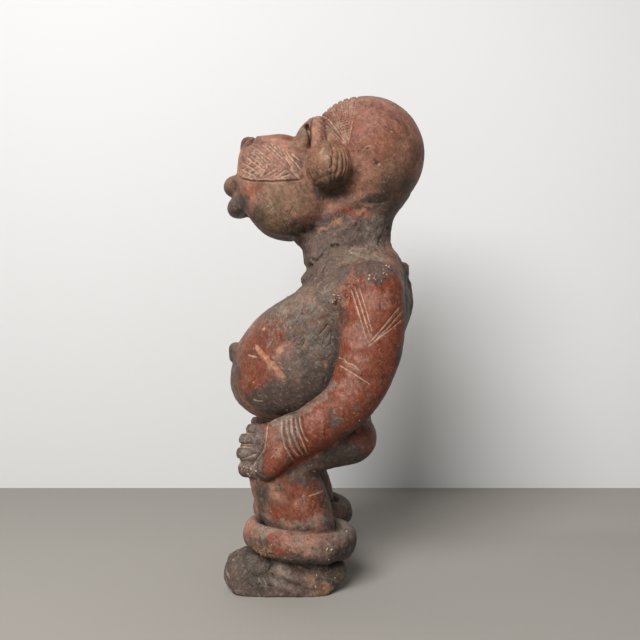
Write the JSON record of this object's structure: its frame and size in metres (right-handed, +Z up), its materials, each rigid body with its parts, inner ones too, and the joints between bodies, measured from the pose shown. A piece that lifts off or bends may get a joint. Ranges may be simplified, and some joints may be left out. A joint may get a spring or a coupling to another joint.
{
  "type": "clay house figure",
  "caption": "Squat fired-clay standing figure with blown-out cheeks, a great belly, hands clasping the knees and a thick ring on each ankle; stands on its feet.",
  "frame": {"origin": "on the ground under the middle of the figure's bounding box", "axes": "+Z up, the figure faces -Y and its left side is +X"},
  "size_m": [0.234, 0.238, 0.5582],
  "materials": {
    "fired_clay": "hand-smoothed fired clay with worn red slip, grey crust and dust in the cuts"
  },
  "bodies": {
    "root": {"figure": "fired_clay"}
  },
  "joints": []
}
